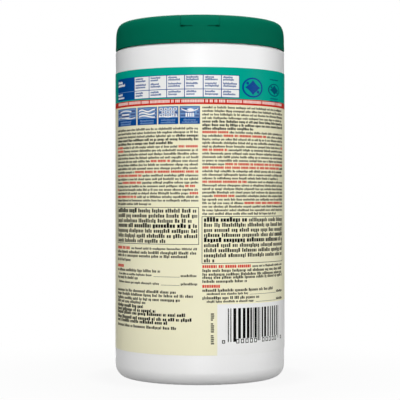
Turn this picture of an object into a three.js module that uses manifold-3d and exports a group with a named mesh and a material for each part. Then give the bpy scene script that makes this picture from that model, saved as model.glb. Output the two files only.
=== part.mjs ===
// Disinfecting wipes canister: a blow-moulded tub, its wrap-around label, a push-on
// closure with a dispensing well, a flip lid on a living hinge, and the roll of wipes
// inside with its first wipe threaded through the star-cut orifice.
// Millimetres, +Z up, origin at the centre of the base. The hinge is at the back, on -Y,
// and the thumb tab at the front, on +Y. The label's back panel faces -Y.

import * as THREE from 'three';
import { mergeVertices } from 'three/addons/utils/BufferGeometryUtils.js';
import Module from 'manifold-3d';

const wasm = await Module();
wasm.setup();

// Fineness of the round forms

const turnSegments = 48;
const cornerSteps = 5;
const shoulderSteps = 9;

// Tub

const bodyRadius = 52;
const bodyWall = 1;
const shoulderRoom = 16.5;
const shoulderFillet = 1.5;
const baseCornerWidth = 6.5;
const baseCornerHeight = 7.85;
const standingRingWidth = 2;
const pushUpHeight = 4;
const neckInset = 4.2;
const neckWall = 1.6;
const neckHeight = 9.2;
const beadStandout = 1;
const beadRise = 4.2;
const beadHeight = 1.8;
const lipFillet = 0.4;

// Label

const labelBottom = 18;
const labelShoulderGap = 14.1;
const labelThickness = 0.25;
const glueGap = 0.05;

// Printed fields of the label. What runs across is arc length from the middle of the
// back panel, and what runs up is measured from the label's nearer edge or field. The
// four step pictures are even as seen from straight behind

const bandHeight = 18.7;
const stripeHeight = 2.4;
const columnEdge = 65.3;
const tableDrop = 4.4;
const tableHeight = 13.3;
const tableHeaderEdge = -43.8;
const tableEdge = 23.8;
const stepsDrop = 1.6;
const stepsHeight = 10.4;
const stepsCaptionHeight = 3.7;
const stepCount = 4;
const stepGutter = 0.7;
const codePanelLeft = 10.1;
const codePanelRight = 72;
const codePanelHeight = 29.7;

// Closure

const closureSeatGap = 0.3;
const closureHeight = 16.9;
const closureStandout = 0.1;
const skirtDraft = 0.15;
const closureWall = 1.4;
const capShoulderRun = 7.7;
const capShoulderRise = 13.1;
const capShoulderPower = 3.33;
const topRingWidth = 4.35;
const recessDepth = 3.4;
const deckThickness = 1.4;
const wellTopRadius = 26.8;
const wellFloorRadius = 20.5;
const wellDepth = 10.8;
const wellWall = 1.3;
const orificeRadius = 5.5;
const petalCount = 6;
const petalReach = 10;
const petalSlit = 0.9;
const petalRise = 1.2;
const plugClearance = 0.6;
const plugWall = 1.2;
const plugReach = 4;
const landGap = 0.3;
const landWidth = 0.8;
const lugPairs = 3;
const lugWidth = 14;
const lugClearance = 0.25;
const lugHeight = 1.2;
const lugDrop = 0.4;

// Living hinge and flip lid

const hingeDrop = 7.3;
const slitHeight = 0.5;
const webWidth = 9.3;
const webGap = 0.3;
const reliefWidth = 2.3;
const reliefHeight = 1.2;
const leafWidth = 22.5;
const leafSideGap = 0.15;
const leafFloorGap = 0.35;
const leafFloorThickness = 1.2;
const lidThickness = 1.4;
const lidEdgeGap = 0.7;
const rimInset = 0.8;
const rimWall = 1.4;
const rimSeatGap = 0.35;
const sealGap = 1.2;
const sealWall = 1.2;
const sealReach = 1.4;
const tabWidth = 22;
const tabReach = 7.3;
const tabCorner = 4;
const scoopRadius = 9;
const scoopCentreRise = 2;
const scoopCentreStandout = 1.5;
const scoopWall = 1.2;

// Wipes

const rollMouthGap = 0.7;
const rollSeatGap = 0.3;
const rollHeight = 178;
const coreRadius = 10;
const rollTurns = 10;
const turnGap = 0.45;
const stepsPerTurn = 34;
const tuftRootDepth = 16;
const tuftRootGap = 0.3;
const tuftOrificeGap = 1.2;
const tuftTipGap = 0.25;
const tuftTipRoom = 2.4;
const tuftSides = 15;
const tuftLobes = 3;
const tuftLobeDepth = 0.2;
const tuftTwist = 2.56;

// Heights and radii that follow from them

const rollBottom = pushUpHeight + bodyWall + rollSeatGap;
const rollTop = rollBottom + rollHeight;
const shoulderHeight = rollTop + shoulderRoom;
const neckRadius = bodyRadius - neckInset;
const mouthRadius = neckRadius - neckWall;
const neckTop = shoulderHeight + neckHeight;
const beadBottom = shoulderHeight + beadRise;
const closureBottom = shoulderHeight + closureSeatGap;
const closureTop = closureBottom + closureHeight;
const closureRadius = bodyRadius + closureStandout - skirtDraft;
const capShoulderBottom = closureTop - capShoulderRise;
const recessRadius = closureRadius - capShoulderRun - topRingWidth;
const deckTop = closureTop - recessDepth;
const wellFloor = deckTop - wellDepth;
const hingeHeight = closureTop - hingeDrop;
const lidRadius = recessRadius - lidEdgeGap;
const pocketWidth = leafWidth + 2 * leafSideGap;
const rollRadius = mouthRadius - rollMouthGap;
const labelTop = shoulderHeight - labelShoulderGap;
const bandBottom = labelTop - bandHeight;
const stripeBottom = bandBottom - stripeHeight;
const tableTop = labelTop - tableDrop;
const tableBottom = tableTop - tableHeight;
const stepsTop = stripeBottom - stepsDrop;
const stepsBottom = stepsTop - stepsHeight;
const stepsCaptionTop = stepsBottom + stepsCaptionHeight;
const codePanelTop = labelBottom + codePanelHeight;
const beyond = 2 * bodyRadius;
const cutMargin = 1;

// Joining and cutting

function withoutCollapsed(indices) {
  const kept = [];
  for (let i = 0; i < indices.length; i += 3) {
    const [a, b, c] = [indices[i], indices[i + 1], indices[i + 2]];
    if (a !== b && b !== c && c !== a) {
      kept.push(a, b, c);
    }
  }
  return kept;
}

function weld(geometry) {
  const bare = geometry.clone();
  bare.deleteAttribute('normal');
  bare.deleteAttribute('uv');
  const merged = mergeVertices(bare, 1e-4);
  merged.setIndex(withoutCollapsed(merged.index.array));
  return merged;
}

function solidOf(geometry) {
  const merged = weld(geometry);
  return new wasm.Manifold(new wasm.Mesh({
    numProp: 3,
    vertProperties: new Float32Array(merged.attributes.position.array),
    triVerts: new Uint32Array(merged.index.array),
  }));
}

function geometryOf(solid) {
  const { vertProperties, triVerts } = solid.getMesh();
  const geometry = new THREE.BufferGeometry();
  geometry.setAttribute('position', new THREE.Float32BufferAttribute(vertProperties, 3));
  geometry.setIndex(Array.from(triVerts));
  return geometry;
}

// Basic forms

// A profile of [radius, height] points, running up the outside and down the inside
function revolve(profile) {
  const points = profile.map(([radius, height]) => new THREE.Vector2(radius, height));
  return new THREE.LatheGeometry(points, turnSegments).rotateX(Math.PI / 2);
}

function ring(innerRadius, outerRadius, bottom, top) {
  return revolve([
    [innerRadius, bottom],
    [outerRadius, bottom],
    [outerRadius, top],
    [innerRadius, top],
    [innerRadius, bottom],
  ]);
}

function disc(radius, bottom, top) {
  return revolve([
    [0, bottom],
    [radius, bottom],
    [radius, top],
    [0, top],
  ]);
}

function block(xRange, yRange, zRange) {
  const size = [xRange, yRange, zRange].map(([low, high]) => high - low);
  const middle = [xRange, yRange, zRange].map(([low, high]) => (high + low) / 2);
  return new THREE.BoxGeometry(...size).translate(...middle);
}

// A quarter of an ellipse from one angle to another, as profile points
function arc(centre, radii, from, to, steps) {
  return Array.from({ length: steps + 1 }, (_, i) => {
    const angle = THREE.MathUtils.degToRad(from + ((to - from) * i) / steps);
    return [centre[0] + radii[0] * Math.cos(angle), centre[1] + radii[1] * Math.sin(angle)];
  });
}

// Tub: one blown shell with a domed base, a flat shoulder and a beaded neck

function buildCanister() {
  const ringOuter = bodyRadius - baseCornerWidth;
  const ringInner = ringOuter - standingRingWidth;
  const domeSteps = [0.25, 0.5, 0.75, 0.94];
  const domeHeight = (share) => pushUpHeight * (1 - share ** 4);
  const innerRadius = bodyRadius - bodyWall;
  const innerShoulder = shoulderHeight - bodyWall;
  const innerFillet = shoulderFillet - bodyWall / 2;
  const beadTop = beadBottom + beadHeight;

  const outside = [
    [0, pushUpHeight],
    ...domeSteps.map((share) => [ringInner * share, domeHeight(share)]),
    [ringInner, 0],
    ...arc([ringOuter, baseCornerHeight], [baseCornerWidth, baseCornerHeight], -90, 0, cornerSteps),
    ...arc([bodyRadius - shoulderFillet, shoulderHeight - shoulderFillet],
      [shoulderFillet, shoulderFillet], 0, 90, 3),
    [neckRadius, shoulderHeight],
    [neckRadius, beadBottom],
    [neckRadius + beadStandout, beadBottom + beadHeight / 4],
    [neckRadius + beadStandout, beadBottom + beadHeight / 2],
    [neckRadius, beadTop],
    [neckRadius, neckTop - lipFillet],
    [neckRadius - lipFillet, neckTop],
  ];
  const inside = [
    [mouthRadius + lipFillet, neckTop],
    [mouthRadius, neckTop - lipFillet],
    [mouthRadius, innerShoulder],
    ...arc([innerRadius - innerFillet, innerShoulder - innerFillet],
      [innerFillet, innerFillet], 90, 0, 2),
    ...arc([ringOuter, baseCornerHeight],
      [baseCornerWidth - bodyWall, baseCornerHeight - bodyWall], 0, -90, cornerSteps),
    [ringInner, bodyWall],
    ...domeSteps.slice().reverse().map((share) => [ringInner * share, domeHeight(share) + bodyWall]),
    [0, pushUpHeight + bodyWall],
  ];
  return revolve([...outside, ...inside]);
}

// Label: a film sleeve whose outside is divided along its printed fields

const filmColours = {
  ground: 0xf0ecd0,
  band: 0x14a08c,
  stripe: 0xcc4b3c,
  navy: 0x0b3b78,
  paper: 0xf4f4f2,
  picture: 0xa9b7c4,
};

function stepEdges() {
  const radius = bodyRadius + glueGap + labelThickness;
  const around = (across) => radius * Math.asin(across / radius);
  const reach = radius * Math.sin(columnEdge / radius);
  const pitch = (reach + stepGutter) / stepCount;
  return Array.from({ length: stepCount }, (_, i) => {
    const left = -reach + i * pitch;
    return [around(left), around(left + pitch - stepGutter)];
  });
}

function fieldAt(across, height) {
  const inside = (low, value, high) => low < value && value < high;
  if (height > bandBottom) {
    if (inside(tableBottom, height, tableTop)) {
      if (inside(-columnEdge, across, tableHeaderEdge)) return 'navy';
      if (inside(tableHeaderEdge, across, tableEdge)) return 'paper';
    }
    return 'band';
  }
  if (height > stripeBottom) return 'stripe';
  if (inside(stepsBottom, height, stepsTop)) {
    if (stepEdges().some(([left, right]) => inside(left, across, right))) {
      return height < stepsCaptionTop ? 'navy' : 'picture';
    }
  }
  if (height < codePanelTop && inside(codePanelLeft, across, codePanelRight)) return 'paper';
  return 'ground';
}

function buildLabel() {
  const innerRadius = bodyRadius + glueGap;
  const outerRadius = innerRadius + labelThickness;
  const around = 2 * Math.PI * outerRadius;
  const fieldEdges = [
    -columnEdge, tableHeaderEdge, tableEdge, codePanelLeft, codePanelRight, ...stepEdges().flat(),
  ];
  const turns = Array.from({ length: turnSegments }, (_, i) => (i / turnSegments - 0.5) * around);
  const sortedUnique = (values) => [...new Set(values)].sort((a, b) => a - b);
  const acrossEdges = sortedUnique([...turns, ...fieldEdges]);
  const heightEdges = sortedUnique([
    labelBottom, codePanelTop, stepsBottom, stepsCaptionTop, stepsTop,
    stripeBottom, bandBottom, tableBottom, tableTop, labelTop,
  ]);

  const columns = acrossEdges.length;
  const rows = heightEdges.length;
  const positions = [];
  const place = (radius, across, height) => {
    const angle = across / outerRadius;
    positions.push(radius * Math.sin(angle), -radius * Math.cos(angle), height);
  };
  for (const height of heightEdges) {
    for (const across of acrossEdges) place(outerRadius, across, height);
  }
  for (const height of [labelBottom, labelTop]) {
    for (const across of acrossEdges) place(innerRadius, across, height);
  }

  const outer = (column, row) => row * columns + (column % columns);
  const inner = (column, row) => (rows + row) * columns + (column % columns);
  const triangles = Object.fromEntries(Object.keys(filmColours).map((name) => [name, []]));
  const quad = (name, a, b, c, d) => triangles[name].push(a, b, c, a, c, d);
  for (let column = 0; column < columns; column += 1) {
    const next = column + 1;
    const right = next < columns ? acrossEdges[next] : acrossEdges[0] + around;
    const across = (acrossEdges[column] + right) / 2;
    for (let row = 0; row < rows - 1; row += 1) {
      const name = fieldAt(across, (heightEdges[row] + heightEdges[row + 1]) / 2);
      quad(name, outer(column, row), outer(next, row), outer(next, row + 1), outer(column, row + 1));
    }
    quad('paper', inner(next, 0), inner(column, 0), inner(column, 1), inner(next, 1));
    quad('paper', inner(column, 0), inner(next, 0), outer(next, 0), outer(column, 0));
    quad('paper', outer(column, rows - 1), outer(next, rows - 1), inner(next, 1), inner(column, 1));
  }

  const geometry = new THREE.BufferGeometry();
  geometry.setAttribute('position', new THREE.Float32BufferAttribute(positions, 3));
  const index = [];
  Object.values(triangles).forEach((list, material) => {
    geometry.addGroup(index.length, list.length, material);
    index.push(...list);
  });
  geometry.setIndex(index);
  return geometry;
}

// Closure: everything outside its skin is found from this one revolved form, which
// the inset shrinks evenly

function skinSolid(inset, bottom = closureBottom) {
  const top = closureTop - inset;
  const [run, rise] = [capShoulderRun - inset, capShoulderRise - inset];
  const shoulder = Array.from({ length: shoulderSteps + 1 }, (_, i) => {
    const angle = (Math.PI / 2) * (i / shoulderSteps);
    const power = 2 / capShoulderPower;
    return [
      closureRadius - capShoulderRun + run * Math.cos(angle) ** power,
      capShoulderBottom + rise * Math.sin(angle) ** power,
    ];
  });
  shoulder[shoulderSteps] = [closureRadius - capShoulderRun, top];
  return solidOf(revolve([
    [0, bottom],
    [closureRadius + skirtDraft - inset, bottom],
    ...shoulder,
    [0, top],
  ]));
}

// A strip of the skin, this thick, inside a box
function skinStrip(thickness, xRange, yRange, zRange) {
  return skinSolid(0)
    .subtract(skinSolid(thickness, closureBottom - cutMargin))
    .intersect(solidOf(block(xRange, yRange, zRange)));
}

function centred(width) {
  return [-width / 2, width / 2];
}

function skirtLugs() {
  const top = beadBottom - lugDrop;
  const inner = neckRadius + beadStandout + lugClearance;
  const outer = closureRadius - closureWall / 2;
  const hoop = solidOf(revolve([
    [inner, top],
    [inner, top - lugHeight / 3],
    [outer - lugHeight / 3, top - lugHeight],
    [outer, top - lugHeight],
    [outer, top],
    [inner, top],
  ]));
  const bars = Array.from({ length: lugPairs }, (_, pair) => {
    const bar = block(centred(lugWidth), [-beyond, beyond], [closureBottom, top + cutMargin]);
    return solidOf(bar.rotateZ((Math.PI * pair) / lugPairs));
  });
  return hoop.intersect(bars.reduce((joined, bar) => joined.add(bar)));
}

function deckAndWell() {
  const wallRadius = recessRadius + closureWall;
  const deckBottom = deckTop - deckThickness;
  return solidOf(revolve([
    [0, wellFloor - wellWall + petalRise],
    [petalReach, wellFloor - wellWall],
    [wellFloorRadius, wellFloor - wellWall],
    [wellTopRadius + wellWall, deckBottom],
    [wallRadius, deckBottom],
    [wallRadius, closureTop - closureWall / 2],
    [recessRadius, closureTop - closureWall / 2],
    [recessRadius, deckTop],
    [wellTopRadius, deckTop],
    [wellFloorRadius - wellWall / 2, wellFloor],
    [petalReach, wellFloor],
    [0, wellFloor + petalRise],
  ]));
}

function starCut() {
  const bottom = wellFloor - 2 * wellWall;
  const top = wellFloor + petalRise + cutMargin;
  let star = solidOf(disc(orificeRadius, bottom, top));
  for (let petal = 0; petal < petalCount; petal += 1) {
    const slit = block([0, petalReach], centred(petalSlit), [bottom, top]);
    star = star.add(solidOf(slit.rotateZ((2 * Math.PI * (petal + 0.5)) / petalCount)));
  }
  return star;
}

// Two windows through the wall that end the living hinge
function hingeReliefs() {
  const middle = (pocketWidth - reliefWidth) / 2;
  const heights = [hingeHeight - reliefHeight / 2, hingeHeight + reliefHeight / 2];
  const depths = [-beyond, -mouthRadius];
  const right = solidOf(block([middle - reliefWidth / 2, middle + reliefWidth / 2], depths, heights));
  const left = solidOf(block([-middle - reliefWidth / 2, -middle + reliefWidth / 2], depths, heights));
  return right.add(left);
}

function scoopBall(radius) {
  const ball = new THREE.SphereGeometry(radius, 20, 14);
  const standout = closureRadius + scoopCentreStandout;
  return solidOf(ball.translate(0, standout, closureTop + scoopCentreRise));
}

function buildClosure() {
  const pocketFloor = lidThickness + leafFloorGap;
  const floorUnder = pocketFloor + leafFloorThickness;
  const ledge = hingeHeight - slitHeight / 2;
  const sideWall = closureWall;
  const plugRadius = mouthRadius - plugClearance;
  const landRadius = (neckRadius + mouthRadius) / 2;
  const underTop = closureTop - closureWall / 2;
  const recess = solidOf(disc(recessRadius, deckTop, closureTop + cutMargin));

  const shell = skinSolid(0).subtract(skinSolid(closureWall, closureBottom - cutMargin));
  const plug = solidOf(ring(plugRadius - plugWall, plugRadius, neckTop - plugReach, underTop));
  const land = solidOf(ring(landRadius - landWidth / 2, landRadius + landWidth / 2,
    neckTop + landGap, underTop)).intersect(skinSolid(closureWall / 2));

  const blockDepth = [-beyond, -recessRadius];
  const hingeBlock = skinStrip(floorUnder, centred(pocketWidth + 2 * sideWall), blockDepth,
    [ledge - sideWall, closureTop + cutMargin]);
  const hingePocket = solidOf(block(centred(pocketWidth), [-beyond, -wellTopRadius],
    [ledge, closureTop + cutMargin])).subtract(skinSolid(pocketFloor));
  const hingeWeb = skinStrip(pocketFloor, centred(webWidth), blockDepth,
    [ledge - sideWall / 2, hingeHeight - webGap / 2]);

  const tabRoom = tabWidth + 2 * leafSideGap;
  const tabEnd = lidRadius + tabReach + leafSideGap;
  const tabBlock = skinStrip(floorUnder, centred(tabRoom + 2 * sideWall),
    [recessRadius, tabEnd + sideWall], [deckTop, closureTop + cutMargin]);
  const tabPocket = solidOf(block(centred(tabRoom), [wellTopRadius, tabEnd],
    [deckTop, closureTop + cutMargin])).subtract(skinSolid(pocketFloor));
  const scoopFloor = scoopBall(scoopRadius + scoopWall).intersect(skinSolid(0));

  const closure = shell
    .subtract(recess)
    .add(deckAndWell())
    .add(plug)
    .add(land)
    .add(skirtLugs())
    .add(hingeBlock)
    .add(tabBlock)
    .add(scoopFloor)
    .subtract(hingePocket)
    .subtract(tabPocket)
    .subtract(scoopBall(scoopRadius))
    .add(hingeWeb)
    .subtract(hingeReliefs())
    .subtract(starCut());
  return geometryOf(closure);
}

// Flip lid: a flush plate with a rim and a sealing ring under it, a leaf that runs
// back over the cap's shoulder to the hinge, and a thumb tab at the front

function tabOutline() {
  const [half, start, end] = [tabWidth / 2, lidRadius - rimInset - rimWall, lidRadius + tabReach];
  const shape = new THREE.Shape();
  shape.moveTo(-half, start);
  shape.lineTo(half, start);
  shape.lineTo(half, end - tabCorner);
  shape.absarc(half - tabCorner, end - tabCorner, tabCorner, 0, Math.PI / 2);
  shape.lineTo(tabCorner - half, end);
  shape.absarc(tabCorner - half, end - tabCorner, tabCorner, Math.PI / 2, Math.PI);
  return shape;
}

function buildLid() {
  const under = closureTop - lidThickness;
  const rimRadius = lidRadius - rimInset;
  const sealSlope = (wellTopRadius - wellFloorRadius) / wellDepth;
  const sealRadius = wellTopRadius - sealSlope * sealReach - sealGap;
  const leafBottom = hingeHeight + slitHeight / 2;
  const leafDepth = [-beyond, rimWall - rimRadius];

  const plate = solidOf(disc(lidRadius, under, closureTop));
  const rim = solidOf(ring(rimRadius - rimWall, rimRadius, deckTop + rimSeatGap,
    under + lidThickness / 2));
  const seal = solidOf(ring(sealRadius - sealWall, sealRadius, deckTop - sealReach,
    under + lidThickness / 2));
  const leaf = skinStrip(lidThickness, centred(leafWidth), leafDepth, [leafBottom, closureTop + cutMargin]);
  const web = skinStrip(lidThickness, centred(webWidth), leafDepth,
    [hingeHeight + webGap / 2, leafBottom + cutMargin]);
  const tab = solidOf(new THREE.ExtrudeGeometry(tabOutline(), {
    depth: lidThickness,
    bevelEnabled: false,
    curveSegments: 4,
  }).translate(0, 0, under)).intersect(skinSolid(0));

  return geometryOf(plate.add(rim).add(seal).add(leaf).add(web).add(tab).subtract(hingeReliefs()));
}

// Roll of wipes: one web wound round an open core

function buildRoll() {
  const pitch = (rollRadius - coreRadius) / rollTurns;
  const steps = (rollTurns - 1) * stepsPerTurn;
  const spiral = (start) => Array.from({ length: steps + 1 }, (_, i) => {
    const angle = (2 * Math.PI * i) / stepsPerTurn;
    const radius = start + (pitch * i) / stepsPerTurn;
    return new THREE.Vector2(radius * Math.cos(angle), radius * Math.sin(angle));
  });
  const inside = spiral(coreRadius);
  const outside = spiral(coreRadius + pitch - turnGap).reverse();
  return new THREE.ExtrudeGeometry(new THREE.Shape([...inside, ...outside]), {
    depth: rollHeight,
    bevelEnabled: false,
    steps: 1,
  }).translate(0, 0, rollBottom);
}

// First wipe: a twisted tuft that leaves the core, narrows through the orifice and
// opens out again in the well

function buildTuft() {
  const peak = 1 + tuftLobeDepth;
  const rootRadius = (coreRadius - tuftRootGap) / peak;
  const waistRadius = (orificeRadius - tuftOrificeGap) / peak;
  const tipRadius = (orificeRadius - tuftTipGap) / peak;
  const tipTop = deckTop - tuftTipRoom;
  const tipRoom = tipTop - wellFloor;
  const waistBottom = wellFloor - wellWall;
  const stations = [
    [rollTop - tuftRootDepth, rootRadius * 0.6],
    [rollTop - tuftRootDepth * 0.85, rootRadius],
    [rollTop - tuftRootDepth * 0.4, rootRadius],
    [rollTop, rootRadius * 0.92],
    [rollTop + (waistBottom - rollTop) * 0.3, rootRadius * 0.72],
    [rollTop + (waistBottom - rollTop) * 0.6, rootRadius * 0.58],
    [waistBottom, waistRadius],
    [wellFloor + petalRise, waistRadius],
    [wellFloor + tipRoom * 0.35, tipRadius * 0.94],
    [wellFloor + tipRoom * 0.6, tipRadius],
    [wellFloor + tipRoom * 0.85, tipRadius * 0.96],
    [tipTop, tipRadius * 0.6],
  ];
  const positions = [];
  const index = [];
  for (const [height, radius] of stations) {
    for (let side = 0; side < tuftSides; side += 1) {
      const angle = (2 * Math.PI * side) / tuftSides;
      const lobe = 1 + tuftLobeDepth * Math.cos(tuftLobes * angle);
      const turned = angle + (tuftTwist * (height - rollTop)) / tuftRootDepth;
      positions.push(radius * lobe * Math.cos(turned), radius * lobe * Math.sin(turned), height);
    }
  }
  const at = (station, side) => station * tuftSides + (side % tuftSides);
  for (let station = 0; station < stations.length - 1; station += 1) {
    for (let side = 0; side < tuftSides; side += 1) {
      index.push(at(station, side), at(station, side + 1), at(station + 1, side + 1));
      index.push(at(station, side), at(station + 1, side + 1), at(station + 1, side));
    }
  }
  const ends = [[0, stations[0][0]], [stations.length - 1, stations.at(-1)[0]]];
  ends.forEach(([station, height], end) => {
    const middle = positions.length / 3;
    positions.push(0, 0, height);
    for (let side = 0; side < tuftSides; side += 1) {
      const edge = [at(station, side), at(station, side + 1)];
      index.push(middle, ...(end === 0 ? edge.reverse() : edge));
    }
  });
  const geometry = new THREE.BufferGeometry();
  geometry.setAttribute('position', new THREE.Float32BufferAttribute(positions, 3));
  geometry.setIndex(index);
  return geometry;
}

// Assembly

const canisterPlastic = new THREE.MeshStandardMaterial({ color: 0xf3f3f1, roughness: 0.38 });
const capPlastic = new THREE.MeshStandardMaterial({ color: 0x016b52, roughness: 0.42 });
const lidPlastic = new THREE.MeshStandardMaterial({ color: 0x016f55, roughness: 0.42 });
const rollCloth = new THREE.MeshStandardMaterial({ color: 0xf6f6f2, roughness: 0.95 });
const tuftCloth = new THREE.MeshStandardMaterial({ color: 0xfafaf7, roughness: 0.95 });
const labelFilm = Object.values(filmColours).map(
  (color) => new THREE.MeshStandardMaterial({ color, roughness: 0.3 }));

const pieces = [
  ['canister', buildCanister(), canisterPlastic],
  ['label', buildLabel(), labelFilm],
  ['closure_base', buildClosure(), capPlastic],
  ['flip_lid', buildLid(), lidPlastic],
  ['wipes_roll', buildRoll(), rollCloth],
  ['lead_wipe', buildTuft(), tuftCloth],
];

const wipesCanister = new THREE.Group();
wipesCanister.name = 'wipes_canister';
for (const [name, geometry, material] of pieces) {
  geometry.computeVertexNormals();
  const mesh = new THREE.Mesh(geometry, material);
  mesh.name = name;
  wipesCanister.add(mesh);
}

export default wipesCanister;
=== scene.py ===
# %% [markdown]
# # A tub of disinfecting wipes
#
# The real pack is a blown white tub with a printed film label round it, a green closure
# pushed on its neck, and a flip lid over the hole that the wipes are pulled through.
# The CAD frame holds the pieces at their true size. Here each one is modelled again with
# finer curves and softened edges, and gets its plastic, film, ink or cloth. The label's
# back panel faces -Y, where the camera stands, and so does the lid's hinge.

# %% Load the frame
import math
import random

import bmesh
import bpy
from mathutils import Matrix, Vector, noise


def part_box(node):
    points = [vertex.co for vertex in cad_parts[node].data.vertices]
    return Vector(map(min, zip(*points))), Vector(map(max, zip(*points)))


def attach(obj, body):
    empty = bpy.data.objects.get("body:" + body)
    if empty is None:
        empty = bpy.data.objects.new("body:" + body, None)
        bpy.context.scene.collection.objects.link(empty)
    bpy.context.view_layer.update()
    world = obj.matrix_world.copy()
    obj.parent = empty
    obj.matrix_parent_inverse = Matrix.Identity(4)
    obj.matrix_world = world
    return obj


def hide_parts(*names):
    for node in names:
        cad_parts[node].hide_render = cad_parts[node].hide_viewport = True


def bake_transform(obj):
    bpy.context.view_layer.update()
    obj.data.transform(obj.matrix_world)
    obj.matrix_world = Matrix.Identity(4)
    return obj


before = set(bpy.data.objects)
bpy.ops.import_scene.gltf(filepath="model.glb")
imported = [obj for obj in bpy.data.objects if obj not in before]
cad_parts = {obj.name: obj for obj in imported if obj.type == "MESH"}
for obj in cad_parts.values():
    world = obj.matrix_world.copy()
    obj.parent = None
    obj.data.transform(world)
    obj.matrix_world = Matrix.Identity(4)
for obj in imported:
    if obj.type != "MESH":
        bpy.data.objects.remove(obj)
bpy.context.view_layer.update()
MM = 0.001

# %% [markdown]
# The pieces fit each other, so their sizes start from the boxes of the CAD nodes and a few
# named clearances. Everything is written in millimetres and scaled once, when a mesh is
# made, because a closure's wall is easier to think of as 1.4 than as 0.0014.

# %% Sizes read from the frame
tub_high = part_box("canister")[1] / MM
label_low, label_high = (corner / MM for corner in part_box("label"))
cap_low, cap_high = (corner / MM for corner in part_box("closure_base"))
roll_low, roll_high = (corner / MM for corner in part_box("wipes_roll"))
tuft_low, tuft_high = (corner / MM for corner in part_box("lead_wipe"))

TUB_RADIUS = tub_high.x
TUB_WALL = 1.0
NECK_TOP = tub_high.z
NECK_HEIGHT = 9.2
NECK_INSET = 4.2
NECK_WALL = 1.6
SHOULDER = NECK_TOP - NECK_HEIGHT
NECK_RADIUS = TUB_RADIUS - NECK_INSET
MOUTH_RADIUS = NECK_RADIUS - NECK_WALL
LABEL_RADIUS = label_high.x
LABEL_BOTTOM = label_low.z
LABEL_TOP = label_high.z
CAP_BOTTOM = cap_low.z
CAP_TOP = cap_high.z
SKIRT_RADIUS = cap_high.x
SKIRT_DRAFT = 0.15
CAP_RADIUS = SKIRT_RADIUS - SKIRT_DRAFT
CAP_WALL = 1.4
CAP_SHOULDER_RUN = 7.7
CAP_SHOULDER_RISE = 13.1
TOP_RING = 4.35
RECESS_DEPTH = 3.4
HINGE_DROP = 7.3
RECESS_RADIUS = CAP_RADIUS - CAP_SHOULDER_RUN - TOP_RING
DECK = CAP_TOP - RECESS_DEPTH
HINGE_HEIGHT = CAP_TOP - HINGE_DROP
print("tub radius", round(TUB_RADIUS, 2), "cap top", round(CAP_TOP, 2))

# %% [markdown]
# ## Helpers for turned pieces
#
# Nearly every piece here was moulded round one axis, so a half section spun about Z is the
# natural start. Spinning by the bmesh operator, with its ends merged, gives a closed
# surface whose quads run round the axis, and these shade smoothly.

# %% Profiles and spinning
TURN = 144


def arc(centre, radii, start, end, steps):
    """Points [radius, height] along part of an ellipse, from one angle to another."""
    points = []
    for i in range(steps + 1):
        angle = math.radians(start + (end - start) * i / steps)
        points.append((centre[0] + radii[0] * math.cos(angle),
                       centre[1] + radii[1] * math.sin(angle)))
    return points


def rounded(centre, radius, start, end, steps=4):
    return arc(centre, (radius, radius), start, end, steps)


def chain(bm, points, closed=False):
    """Vertices at points in millimetres, and the edges that join them in order."""
    verts = [bm.verts.new([value * MM for value in point]) for point in points]
    ends = verts[1:] + verts[:1] if closed else verts[1:]
    return verts, [bm.edges.new(pair) for pair in zip(verts, ends)]


def spun(profile, turn=TURN):
    """A bmesh of the profile, in millimetres, spun once round the Z axis."""
    bm = bmesh.new()
    verts, edges = chain(bm, [(radius, 0, height) for radius, height in profile],
                         closed=profile[0][0] > 0)
    bmesh.ops.spin(bm, geom=verts + edges, cent=(0, 0, 0), axis=(0, 0, 1),
                   angle=2 * math.pi, steps=turn, use_merge=True)
    bmesh.ops.remove_doubles(bm, verts=bm.verts[:], dist=0.0005 * MM)
    bmesh.ops.recalc_face_normals(bm, faces=bm.faces[:])
    return bm


# %% [markdown]
# A piece becomes an object only when its mesh is done. The object stays at the origin, so
# that a pattern on Object coordinates lies still on it, and it rides on a body of the CAD.

# %% Making pieces and joining solids
SHARP = math.radians(32)


def new_object(name, bm, materials=()):
    mesh = bpy.data.meshes.new(name)
    bm.to_mesh(mesh)
    bm.free()
    obj = bpy.data.objects.new(name, mesh)
    bpy.context.scene.collection.objects.link(obj)
    for material in materials:
        mesh.materials.append(material)
    return obj


def finish_piece(obj, body, replaces=None, sharp=SHARP):
    """Smooth shading with creases at true edges, then the piece joins its body."""
    mesh = obj.data
    mesh.polygons.foreach_set("use_smooth", [True] * len(mesh.polygons))
    mesh.set_sharp_from_angle(angle=sharp)
    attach(obj, body)
    if replaces:
        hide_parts(replaces)
    print(obj.name, len(mesh.polygons), "faces")
    return obj


def combine(base, other, operation):
    """Joins or cuts two closed meshes with the exact Boolean, and drops the second."""
    tool = base.modifiers.new("combine", "BOOLEAN")
    tool.operation = operation
    tool.solver = "EXACT"
    tool.object = other
    depsgraph = bpy.context.evaluated_depsgraph_get()
    mesh = bpy.data.meshes.new_from_object(base.evaluated_get(depsgraph))
    base.modifiers.clear()
    base.data = mesh
    bpy.data.objects.remove(other)
    return base


def box_tool(low, high):
    """A temporary closed box between two corners, in millimetres."""
    bm = bmesh.new()
    low, high = Vector(low) * MM, Vector(high) * MM
    place = Matrix.Translation((low + high) / 2) @ Matrix.Diagonal((*(high - low), 1))
    bmesh.ops.create_cube(bm, size=1, matrix=place)
    return new_object("tool", bm)


def spun_tool(profile, turn=TURN):
    return new_object("tool", spun(profile, turn))


# %% [markdown]
# ## Surfaces
#
# Moulded plastic is never one flat tone: it has a faint mottle, a fine grain from the
# mould, and gloss that varies a little. Every plastic, film and ink shares one node group
# for that, with its own values. The group reads Object coordinates, in metres.

# %% The shared moulded surface
GRAIN_SCALE = 700
GRAIN_STRENGTH = 0.6
MOTTLE_SHADE = 0.965


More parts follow.
